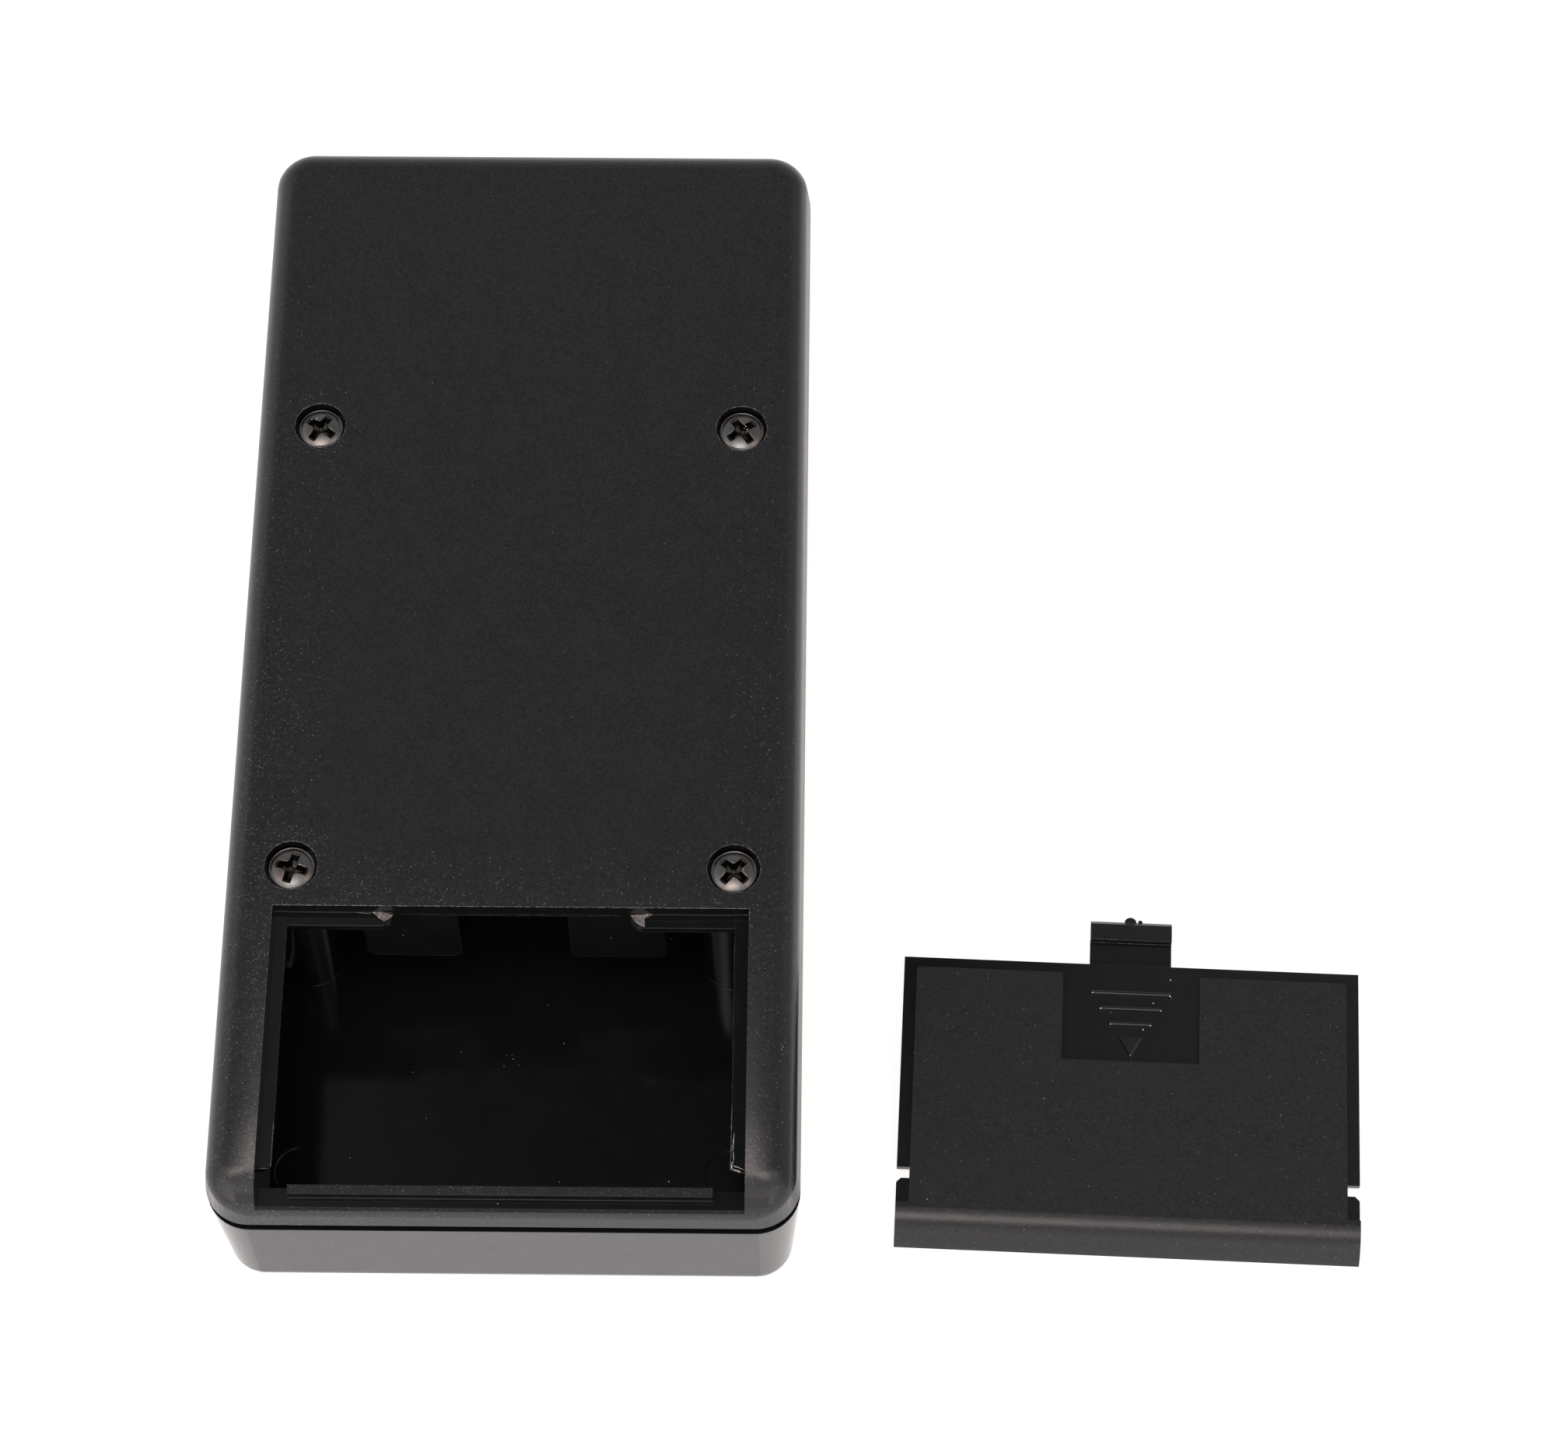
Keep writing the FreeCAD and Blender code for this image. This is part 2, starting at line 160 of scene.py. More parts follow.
def endGroup(tree, placed, material):
    real = addNode(tree, "GeometryNodeRealizeInstances", {0: placed.outputs[0]})
    dressed = addNode(tree, "GeometryNodeSetMaterial", {"Geometry": real.outputs[0], "Material": material})
    tree.links.new(dressed.outputs[0], addNode(tree, "NodeGroupOutput").inputs[0])
    return tree


def pointsWith(name, places, attribute, values):  # an object whose bare points carry one number each
    points = bpy.data.meshes.new(name)
    points.from_pydata(places, [], [])
    held = points.attributes.new(attribute, "FLOAT", "POINT")
    for item, value in zip(held.data, values):
        item.value = value
    return putInScene(name, points)


def runGroup(tree, maker, points, values):
    modifier = maker.modifiers.new(tree.name, "NODES")
    modifier.node_group = tree
    for item in tree.interface.items_tree:
        if item.in_out == "INPUT" and item.name in values:
            modifier[item.identifier] = values[item.name]
    mesh = bpy.data.meshes.new_from_object(maker.evaluated_get(bpy.context.evaluated_depsgraph_get()))
    maker.modifiers.remove(modifier)
    for made in (points, maker):
        bpy.data.objects.remove(made)
    return mesh


# Sizes of the case that the finishes follow, in metres; each ramp runs from, to, value there, value there

case = {
    "halfWidth": 36.8 * mm, "halfLength": 77.7 * mm, "frontHeight": 21.3 * mm, "height": 29.6 * mm,
    "frontDraft": math.radians(3.4), "wall": 2.2 * mm, "frontSkin": 0.05 * mm, "backSkin": 0.03 * mm,
    "openingHalfWidth": 30.03 * mm, "openingFar": -37.35 * mm, "wellNear": -74.2 * mm,
    "screwHalfX": 28.0 * mm, "screwRows": (32.85 * mm, -31.8 * mm), "counterbore": 3.375 * mm,
    "ledgeLow": (-27.5 * mm, -75.3 * mm, 27.6 * mm), "ledgeHigh": (27.5 * mm, -73.2 * mm, 28.2 * mm),
    "ledgeTexture": 0.55,
    "pinMark": (27.7 * mm, -62.4 * mm, 0.0), "pinRadius": 3.3 * mm, "pinRing": (0.08 * mm, 0.03 * mm),
    "pinBreakSize": 2.5 * mm, "pinBreaks": (0.42, 0.55), "pinAbove": 1.5 * mm,
    "leanFirst": (-32 * mm, -63 * mm, 0.0, 0.12), "leanLast": (-64 * mm, -72.5 * mm, 0.0, 0.13),
    "leanDepth": (26.0 * mm, 29.5 * mm, 0.0, -1.0), "leanAcross": (34.6 * mm, 30.8 * mm),
}

# How close the painted glints, specks of painted highlight, stand in each region; they thin out toward the
# right and the far end, away from where the light came from

glints = {
    "front": 0.35, "toSides": (24 * mm, 34 * mm, 0.0, 0.7), "byScrews": (7 * mm, 4 * mm),
    "byOpening": (9 * mm, 0.5 * mm), "toFar": (45 * mm, -10 * mm, 0.12, 1.0),
    "toRight": (-20 * mm, 5 * mm, 1.0, 0.35), "onCover": (16 * mm, 27 * mm, 0.03, 0.12),
}

# One moulded plastic, spark-textured outside and smooth inside, with painted glints, a painted edge
# highlight and the painted highlight and shade of the ejector rings

plastic = {
    "ior": 1.52,
    "skinColour": (0.0094, 0.0104, 0.0122), "skinRoughness": 0.29, "skinBump": 0.8,
    "smoothColour": (0.0058, 0.0067, 0.0064), "smoothRoughness": 0.10, "smoothBump": 0.02,
    "grainSize": 0.27 * mm, "grainDepth": 0.02 * mm, "grainShade": (0.3, 0.7, 0.3, 1.7),
    "mottleSize": 0.7 * mm, "mottleShade": (0.3, 0.7, 0.86, 1.14),
    "patchSize": 3.5 * mm, "patchShare": (0.35, 0.65, 0.6, 1.3),
    "faintSize": 3.5 * mm, "faintPaler": 1.15, "faintMix": (0.35, 0.7),
    "faintRough": (0.3, 0.7, -0.01, 0.02),
    "edgeRound": 0.13 * mm, "coverRound": 0.06 * mm,
    "glintSpacing": 0.25 * mm, "glintTurn": (0.7, 0.5, 0.3), "glintColour": (0.17, 0.17, 0.175, 1.0),
    "glintReach": (0.2, 0.16), "glintSoft": (-0.06, 0.06, 1.0, 0.0), "glintStrength": (0.7, 0.25),
    "fewest": 0.002, "most": 0.65,
    # Painted edge highlight: its colour, how it breaks up, how sharp an edge it needs, how far below the
    # top it reaches, and its fade toward the near end
    "edgeHighlightColour": (0.36, 0.355, 0.35, 1.0), "edgeHighlightSize": 0.3 * mm, "edgeHighlightBreaks": (0.4, 0.6),
    "edgeHighlightBend": (0.995, 0.92), "edgeHighlightDepth": 0.25 * mm, "edgeHighlightFar": (-41 * mm, -38 * mm, 0.3, 1.0),
    # Ejector rings: painted highlight on the left one, painted shade on the right one
    "arcHighlightColour": (0.020, 0.021, 0.020, 1.0), "arcShadeColour": (0.001, 0.001, 0.001, 1.0),
    "rubbed": (0.014, 0.0145, 0.0145, 1.0), "rubbedShare": 0.7,
}

# The torn, whitened spot that levering the cover left on the near right corner of the opening

bruise = {
    "place": (32.8 * mm, -73.2 * mm, 29.5 * mm), "reach": 1.5 * mm, "strength": 0.15,
    "stretch": (0.5, 3.0, 1.0), "turn": (0.0, 0.0, 0.5), "streakSize": 0.7 * mm, "breaks": (0.4, 0.7),
    "colour": (0.17, 0.165, 0.16, 1.0),
}


def sparkSkin(tree, position, dense):  # mottled colour with painted glints (specks of painted highlight), and the textured skin's height
    grain = noise(tree, position, plastic["grainSize"], 2.0, 0.6)
    mottle = noise(tree, position, plastic["mottleSize"])
    patches = ramp(tree, noise(tree, position, plastic["patchSize"]), *plastic["patchShare"])
    turned = turnedVector(tree, position, plastic["glintTurn"])
    cells = addNode(tree, "ShaderNodeTexVoronoi", {"Vector": turned, "Scale": 1 / plastic["glintSpacing"]})
    pick = addNode(tree, "ShaderNodeSeparateColor", {0: cells.outputs["Color"]}).outputs
    share = maths(tree, "MULTIPLY_ADD", product(tree, dense, patches), plastic["most"], plastic["fewest"])
    chosen = maths(tree, "LESS_THAN", pick[0], share)
    reach = maths(tree, "MULTIPLY_ADD", pick[1], *plastic["glintReach"])
    dot = ramp(tree, maths(tree, "SUBTRACT", cells.outputs["Distance"], reach), *plastic["glintSoft"])
    strong = maths(tree, "MULTIPLY_ADD", maths(tree, "POWER", pick[2], 2.0), *plastic["glintStrength"])
    glint = product(tree, chosen, dot, strong)
    shade = product(tree, ramp(tree, grain, *plastic["grainShade"]),
                    ramp(tree, mottle, *plastic["mottleShade"]))
    dark = joinVector(tree, *plastic["skinColour"])
    shaded = addNode(tree, "ShaderNodeVectorMath", {0: dark, "Scale": shade}, operation="SCALE").outputs[0]
    return mixColour(tree, glint, shaded, plastic["glintColour"]), grain


def finishPlastic(material, tree, shader, position, smooth, dense, extra, edge=plastic["edgeRound"],
                  lean=None):
    colour, grain = sparkSkin(tree, position, dense)
    faint = noise(tree, position, plastic["faintSize"], 3.0)
    plain = plastic["smoothColour"] + (1.0,)
    paler = tuple(plastic["faintPaler"] * v for v in plastic["smoothColour"]) + (1.0,)
    smoothColour = mixColour(tree, ramp(tree, faint, *plastic["faintMix"]), plain, paler)
    base = mixColour(tree, smooth, colour, smoothColour)
    rounded = addNode(tree, "ShaderNodeBevel", {"Radius": edge}, samples=4).outputs[0]
    if lean:
        rounded = vectorMaths(tree, "NORMALIZE", vectorMaths(tree, "ADD", rounded, lean))
    tree.links.new(extra(base, rounded), shader.inputs["Base Color"])
    rough = ramp(tree, smooth, 0.0, 1.0, plastic["skinRoughness"], plastic["smoothRoughness"])
    rough = maths(tree, "ADD", rough, ramp(tree, faint, *plastic["faintRough"]))
    tree.links.new(rough, shader.inputs["Roughness"])
    strength = ramp(tree, smooth, 0.0, 1.0, plastic["skinBump"], plastic["smoothBump"])
    bump = addNode(tree, "ShaderNodeBump", {"Strength": strength, "Distance": plastic["grainDepth"],
                                            "Height": grain, "Normal": rounded})
    tree.links.new(bump.outputs["Normal"], shader.inputs["Normal"])
    return material


def paintedEdgeHighlight(tree, position, base, rounded, above, strength):  # painted highlight: a light broken line along the sharp edges
    flat = addNode(tree, "ShaderNodeNewGeometry").outputs["Normal"]
    same = vectorMaths(tree, "DOT_PRODUCT", rounded, flat)
    broken = ramp(tree, noise(tree, position, plastic["edgeHighlightSize"]), *plastic["edgeHighlightBreaks"])
    high = maths(tree, "GREATER_THAN", splitVector(tree, position)[2], above)
    # worn here is the strength of the painted edge highlight
    worn = product(tree, ramp(tree, same, *plastic["edgeHighlightBend"]), high, broken, strength)
    return mixColour(tree, worn, base, plastic["edgeHighlightColour"])


def frontShellPlastic():
    material, tree, shader, position = newMaterial("Front shell plastic", IOR=plastic["ior"])
    x, y, z = splitVector(tree, position)
    across = maths(tree, "ABSOLUTE", x)
    draft = product(tree, maths(tree, "SUBTRACT", case["frontHeight"], z), math.tan(case["frontDraft"]))
    grown = joinVector(tree, maths(tree, "ADD", across, draft),
                       maths(tree, "ADD", maths(tree, "ABSOLUTE", y), draft), z)
    skin = case["frontSkin"]
    smooth = insideBox(tree, grown, (-1.0, -1.0, skin),
                       (case["halfWidth"] - skin, case["halfLength"] - skin, 1.0))

    def paintedPinRings(base, rounded):  # ring of each ejector mark on the bay's floor, painted as a faint highlight on the left mark and as painted shade on the right mark
        away = vectorMaths(tree, "DISTANCE", joinVector(tree, across, y), case["pinMark"])
        off = maths(tree, "ABSOLUTE", maths(tree, "SUBTRACT", away, case["pinRadius"]))
        broken = ramp(tree, noise(tree, position, case["pinBreakSize"]), *case["pinBreaks"])
        ring = product(tree, ramp(tree, off, *case["pinRing"]), broken)
        inBay = maths(tree, "GREATER_THAN", z, case["pinAbove"])
        onRight = maths(tree, "GREATER_THAN", x, 0.0)
        # painted highlight for the left ring, painted shade for the right ring
        tone = mixColour(tree, onRight, plastic["arcHighlightColour"], plastic["arcShadeColour"])
        return mixColour(tree, product(tree, ring, inBay), base, tone)

    return finishPlastic(material, tree, shader, position, smooth, glints["front"], paintedPinRings)


def bruised(tree, position, base):
    streaks = vectorMaths(tree, "MULTIPLY", position, bruise["stretch"])
    turned = turnedVector(tree, streaks, bruise["turn"])
    torn = ramp(tree, noise(tree, turned, bruise["streakSize"], 3.0, 0.6), *bruise["breaks"])
    away = vectorMaths(tree, "DISTANCE", position, bruise["place"])
    close = ramp(tree, away, bruise["reach"], bruise["reach"] / 2, 0.0, bruise["strength"])
    return mixColour(tree, product(tree, torn, close), base, bruise["colour"])


def backShellPlastic():
    material, tree, shader, position = newMaterial("Back shell plastic", IOR=plastic["ior"])
    x, y, z = splitVector(tree, position)
    across = maths(tree, "ABSOLUTE", x)
    folded = joinVector(tree, across, y)
    skin = case["backSkin"]
    w = case["openingHalfWidth"] + skin
    half = case["wall"] / 2
    opening = insideBox(tree, position, (-w, case["wellNear"] - half, -1.0),
                        (w, case["openingFar"] + skin, case["height"] - skin))
    under = insideBox(tree, position, (half - case["halfWidth"], half - case["halfLength"], -1.0),
                      (case["halfWidth"] - half, case["halfLength"] - half, case["height"] - half))
    ledge = insideBox(tree, position, case["ledgeLow"], case["ledgeHigh"])
    within = maths(tree, "MAXIMUM", opening, under)
    smooth = maths(tree, "MULTIPLY_ADD", ledge, -case["ledgeTexture"], within)

    # dense: how close the painted glints stand, thicker by the screws, the opening and the left side
    dense = ramp(tree, across, *glints["toSides"])
    for row in case["screwRows"]:
        away = vectorMaths(tree, "DISTANCE", folded, (case["screwHalfX"], row, 0.0))
        smooth = maths(tree, "MAXIMUM", smooth, maths(tree, "LESS_THAN", away, case["counterbore"] + skin))
        dense = maths(tree, "MAXIMUM", dense, ramp(tree, away, *glints["byScrews"]))
    beside = maths(tree, "MAXIMUM", maths(tree, "SUBTRACT", across, case["openingHalfWidth"]),
                   maths(tree, "SUBTRACT", y, case["openingFar"]))
    dense = maths(tree, "MAXIMUM", dense, ramp(tree, beside, *glints["byOpening"]))
    dense = product(tree, dense, ramp(tree, y, *glints["toFar"]), ramp(tree, x, *glints["toRight"]))
    dense = maths(tree, "MAXIMUM", dense, ledge)

    # wear: the whitened bruise and the painted edge highlight along the top edges
    def wear(base, rounded):
        strength = ramp(tree, y, *plastic["edgeHighlightFar"])
        return paintedEdgeHighlight(tree, position, bruised(tree, position, base), rounded,
                         case["height"] - plastic["edgeHighlightDepth"], strength)

    # The margins beside the opening fall off very gently toward the near end; here only the shading normal
    # leans that way
    toNear = maths(tree, "ADD", ramp(tree, y, *case["leanFirst"]), ramp(tree, y, *case["leanLast"]))
    inner = product(tree, ramp(tree, across, *case["leanAcross"]), maths(tree, "SUBTRACT", 1.0, smooth))
    lean = joinVector(tree, y=product(tree, toNear, ramp(tree, z, *case["leanDepth"]), inner))
    return finishPlastic(material, tree, shader, position, smooth, dense, wear, lean=lean)


# Where the cover lies, and its sizes from its own near edge

cover = {
    "turn": math.radians(-2.06), "place": (78.36 * mm, -72.48 * mm, 0.0), "tip": math.radians(1.234),
    "panelHalfWidth": 28.12 * mm, "panelFar": 38.1 * mm, "panelLow": 2.25 * mm, "lipFar": 5.3 * mm,
    "thumbHalfWidth": 8.95 * mm, "thumbNear": 25.8 * mm, "thumbFloor": 2.35 * mm,
    "hookNear": 43.6 * mm, "arrowFar": 30.0 * mm,
}


def coverPlastic():
    material, tree, shader, position = newMaterial("Battery cover plastic", IOR=plastic["ior"])
    local = addNode(tree, "ShaderNodeMapping", {"Vector": position, "Location": cover["place"],
                                                "Rotation": (cover["tip"], 0.0, cover["turn"])},
                    vector_type="TEXTURE").outputs[0]
    x, y, z = splitVector(tree, local)
    panel = insideBox(tree, local, (-cover["panelHalfWidth"], -1.0, cover["panelLow"]),
                      (cover["panelHalfWidth"], cover["panelFar"], 1.0))
    thumb = insideBox(tree, local, (-cover["thumbHalfWidth"], cover["thumbNear"], -1.0),
                      (cover["thumbHalfWidth"], 1.0, 1.0))
    textured = product(tree, panel, maths(tree, "SUBTRACT", 1.0, thumb))
    lip = insideBox(tree, local, (-1.0, -1.0, -1.0), (1.0, cover["lipFar"], 1.0))
    smooth = maths(tree, "SUBTRACT", 1.0, maths(tree, "MAXIMUM", textured, lip))
    dense = ramp(tree, maths(tree, "ABSOLUTE", x), *glints["onCover"])
    onHook = maths(tree, "GREATER_THAN", y, cover["hookNear"])
    raised = product(tree, thumb, maths(tree, "GREATER_THAN", z, cover["thumbFloor"]),
                     maths(tree, "LESS_THAN", y, cover["arrowFar"]))
    raised = maths(tree, "MAXIMUM", raised, onHook)

    # wear: the rubbed raised parts and the painted edge highlight on the hook's edges
    def wear(base, rounded):
        rubbed = product(tree, raised, plastic["rubbedShare"])
        base = mixColour(tree, rubbed, base, plastic["rubbed"])
        return paintedEdgeHighlight(tree, local, base, rounded, 0.0, onHook)

    return finishPlastic(material, tree, shader, position, smooth, dense, wear, plastic["coverRound"])


dress(nodes["front_shell"], frontShellPlastic())
dress(nodes["back_shell"], backShellPlastic())
dress(nodes["battery_cover"], coverPlastic())
print("shells and cover dressed")


# Case screws: one head and shank in mesh code, set four times with a rolled thread
# The lists give shares of a half arm, of the way in to the recess's floor, or of the way out to the rim

screws = {
    "headRadius": 2.875 * mm, "headHeight": 1.9 * mm, "sideHeight": 1.32 * mm, "rimRadius": 0.05 * mm,
    "domeFall": ((0.8, 2), (0.2, 5)), "headRings": (0.12, 0.3, 0.5, 0.7, 0.86, 1.0),
    "rimSoft": 0.7, "sideEase": 0.1 * mm,
    "shankRadius": 1.12 * mm, "neckHeight": 0.3 * mm, "neckEase": 0.2 * mm, "length": 16.0 * mm,
    "tip": 1.5 * mm, "tipShare": 1 / 3,
    "recessSpan": 4.3 * mm, "recessArm": 1.12 * mm, "recessDepth": 1.5 * mm, "recessEase": 0.38 * mm,
    "floorSpan": 2.5 * mm, "floorArm": 0.8 * mm, "floorEase": 0.7, "floorPoint": 0.12 * mm,
    "floorShares": (0.35, 1.0), "wallShares": (0.3, 0.65, 0.9),
    "mouth": ((0.0, 1.0), (0.3, 0.3), (1.0, 0.0)),
    "armEnd": ((0.06, 1 / 3), (0.06, 2 / 3), (0.12, 0.97)),
    "corner": ((0.55, 0.12), (0.3, 0.3), (0.12, 0.55)),
    "armSteps": 6, "edgeRound": 0.05 * mm,
    "threadPitch": 1.06 * mm, "threadRadius": 0.24 * mm, "threadSteps": 28, "threadSides": 4,
    "threadStart": 0.7, "seat": 27.35 * mm, "turns": (55.5, 35.5, 74.0, 47.5),
    "tints": ((0.34, (0.168, 0.179, 0.179)), (0.5, (0.177, 0.172, 0.159)), (0.66, (0.190, 0.164, 0.166))),
    "tintSize": 2.6 * mm, "wearSize": 0.12 * mm, "wear": (0.6, 0.75, 0.0, 0.2), "wornShade": 0.3,
    # recessShadeColour is painted shade in the cross recess
    "roughness": (0.3, 0.7, 0.21, 0.38), "recessShadeColour": (0.040, 0.037, 0.033, 1.0),
    "bump": 0.08, "bumpDepth": 0.01 * mm,
}


def crossOutline(span, arm, ease):  # outline of a cross, eased in its inner corners
    a, s = arm / 2, span / 2
    steps = screws["armSteps"]
    quarter = [(s, 0.0)] + [(s - back * a, aside * a) for back, aside in screws["armEnd"]]
    quarter += [(s + (a + ease - s) * k / steps, a) for k in range(1, steps + 1)]
    quarter += [(a + out * ease, a + aside * ease) for out, aside in screws["corner"]]
    quarter += [(a, a + ease + (s - a - ease) * k / steps) for k in range(steps)]
    quarter += [(aside * a, s - back * a) for back, aside in reversed(screws["armEnd"])]
    points = []
    for k in range(4):
        turn = Matrix.Rotation(k * math.pi / 2, 2)
        points += [turn @ Vector(p) for p in quarter]
    return points


def domeHeight(radius):
    rise = screws["headHeight"] - screws["sideHeight"]
    share = min(radius / screws["headRadius"], 1.0)
    return screws["headHeight"] - rise * sum(part * share ** power for part, power in screws["domeFall"])


def screwMesh():
    top = crossOutline(screws["recessSpan"], screws["recessArm"], screws["recessEase"])
    floorEase = screws["recessEase"] * screws["floorEase"]
    floor = crossOutline(screws["floorSpan"], screws["floorArm"], floorEase)
    count = len(top)
    edge = screws["edgeRound"]
    head = screws["headHeight"]
    rings = []
    for share in screws["floorShares"]:  # pointed floor of the recess
        z = head - screws["recessDepth"] - (1 - share) * screws["floorPoint"]
        rings.append([(p.x * share, p.y * share, z) for p in floor])
    for share in screws["wallShares"]:
        z = head - screws["recessDepth"] * (1 - share)
        between = [f + (t - f) * share for f, t in zip(floor, top)]
        rings.append([(p.x, p.y, z) for p in between])
    recessRings = len(rings) + 1
    for out, down in screws["mouth"]:  # rounded mouth of the recess
        ring = []
        for t in top:
            r = t.length + edge * out
            at = t.normalized() * r
            ring.append((at.x, at.y, domeHeight(r) - edge * down))
        rings.append(ring)
    rim = screws["headRadius"] - screws["rimRadius"]
    for share in screws["headRings"]:
        ring = []
        for t in top:
            start = t.length + edge
            angle = math.atan2(t.y, t.x)
            r = start + (rim - start) * share
            ring.append((r * math.cos(angle), r * math.sin(angle), domeHeight(r)))
        rings.append(ring)
    radius, shank, ease = screws["headRadius"], screws["shankRadius"], screws["sideEase"]
    side = ((rim + screws["rimSoft"] * screws["rimRadius"], screws["sideHeight"] + ease),
            (radius, screws["sideHeight"] - ease), (radius, ease), (radius - ease, 0.0),
            (shank + screws["neckEase"], 0.0), (shank, -screws["neckHeight"]),
            (shank, screws["tip"] - screws["length"]), (shank * screws["tipShare"], -screws["length"]))
    for r, z in side:
        rings.append([(r * t.x / t.length, r * t.y / t.length, z) for t in top])
    mesh = bmesh.new()
    loops = [[mesh.verts.new(p) for p in ring] for ring in rings]
    for lower, upper in zip(loops, loops[1:]):
        for k in range(count):
            mesh.faces.new((lower[k], lower[(k + 1) % count], upper[(k + 1) % count], upper[k]))
    mesh.faces.new(list(reversed(loops[0])))
    mesh.faces.new(loops[-1])
    bmesh.ops.recalc_face_normals(mesh, faces=mesh.faces)
    for face in mesh.faces:
        face.smooth = True
    result = bpy.data.meshes.new("screwHead")
    mesh.to_mesh(result)
    mesh.free()
    inside = result.attributes.new("recess", "FLOAT", "POINT")
    for item in list(inside.data)[:recessRings * count]:
        item.value = 1.0
    return result


def screwMetal():
    material, tree, shader, position = newMaterial("Dark plated screw metal", Metallic=1.0)
    fine = noise(tree, position, screws["wearSize"], 3.0)
    colours = addNode(tree, "ShaderNodeValToRGB", {"Fac": noise(tree, position, screws["tintSize"], 1.5)})
    fillRamp(colours, screws["tints"])
    worn = mixColour(tree, ramp(tree, fine, *screws["wear"]), colours.outputs[0], grey(screws["wornShade"]))
    inside = addNode(tree, "ShaderNodeAttribute", attribute_name="recess").outputs["Fac"]
    # the cross recess is painted darker as painted shade
    tree.links.new(mixColour(tree, inside, worn, screws["recessShadeColour"]), shader.inputs["Base Color"])
    tree.links.new(ramp(tree, fine, *screws["roughness"]), shader.inputs["Roughness"])
    bump = addNode(tree, "ShaderNodeBump", {"Strength": screws["bump"], "Distance": screws["bumpDepth"],
                                            "Height": fine})
    tree.links.new(bump.outputs["Normal"], shader.inputs["Normal"])
    return material


def screwTree(material):
    tree, given = newGroup("caseScrews", (
        ("Seats", "NodeSocketObject"), ("Thread pitch", "NodeSocketFloat"),
        ("Thread radius", "NodeSocketFloat"), ("Thread length", "NodeSocketFloat"),
        ("Shank radius", "NodeSocketFloat")))
    turns = maths(tree, "DIVIDE", given["Thread length"], given["Thread pitch"])
    spiral = addNode(tree, "GeometryNodeCurveSpiral", {
        "Resolution": screws["threadSteps"], "Rotations": turns, "Start Radius": given["Shank radius"],
        "End Radius": given["Shank radius"], "Height": given["Thread length"]})
    profile = addNode(tree, "GeometryNodeCurvePrimitiveCircle", {
        "Resolution": screws["threadSides"], "Radius": given["Thread radius"]})
    thread = addNode(tree, "GeometryNodeCurveToMesh", {
        "Curve": spiral.outputs[0], "Profile Curve": profile.outputs[0], "Fill Caps": True})
    lowered = addNode(tree, "GeometryNodeTransform", {
        "Geometry": thread.outputs[0],
        "Translation": (0.0, 0.0, -screws["length"] + screws["threadStart"] * screws["tip"])})
    whole = addNode(tree, "GeometryNodeJoinGeometry")
    tree.links.new(lowered.outputs[0], whole.inputs[0])
    tree.links.new(given["Geometry"], whole.inputs[0])
    seats = addNode(tree, "GeometryNodeObjectInfo", {"Object": given["Seats"]})
    turn = addNode(tree, "GeometryNodeInputNamedAttribute", {"Name": "turn"}, data_type="FLOAT")
    placed = addNode(tree, "GeometryNodeInstanceOnPoints", {
        "Points": seats.outputs["Geometry"], "Instance": whole.outputs[0],
        "Rotation": joinVector(tree, z=turn.outputs[0])})
    return endGroup(tree, placed, material)


def makeScrews():
    columns = (-case["screwHalfX"], case["screwHalfX"])
    places = [(x, y, screws["seat"]) for y in case["screwRows"] for x in columns]
    seats = pointsWith("screwSeats", places, "turn", [math.radians(angle) for angle in screws["turns"]])
    maker = putInScene("screwMaker", screwMesh())
    material = screwMetal()
    mesh = runGroup(screwTree(material), maker, seats, {
        "Seats": seats, "Thread pitch": screws["threadPitch"], "Thread radius": screws["threadRadius"],
        "Thread length": screws["length"] - 2 * screws["tip"], "Shank radius": screws["shankRadius"]})
    mesh.name = "fineScrews"
    piece = putInScene("fineScrews", mesh)
    dress(piece, material)
    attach(piece, "case")
    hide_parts("case_screws")
    print("screws:", len(mesh.polygons), "faces")


makeScrews()
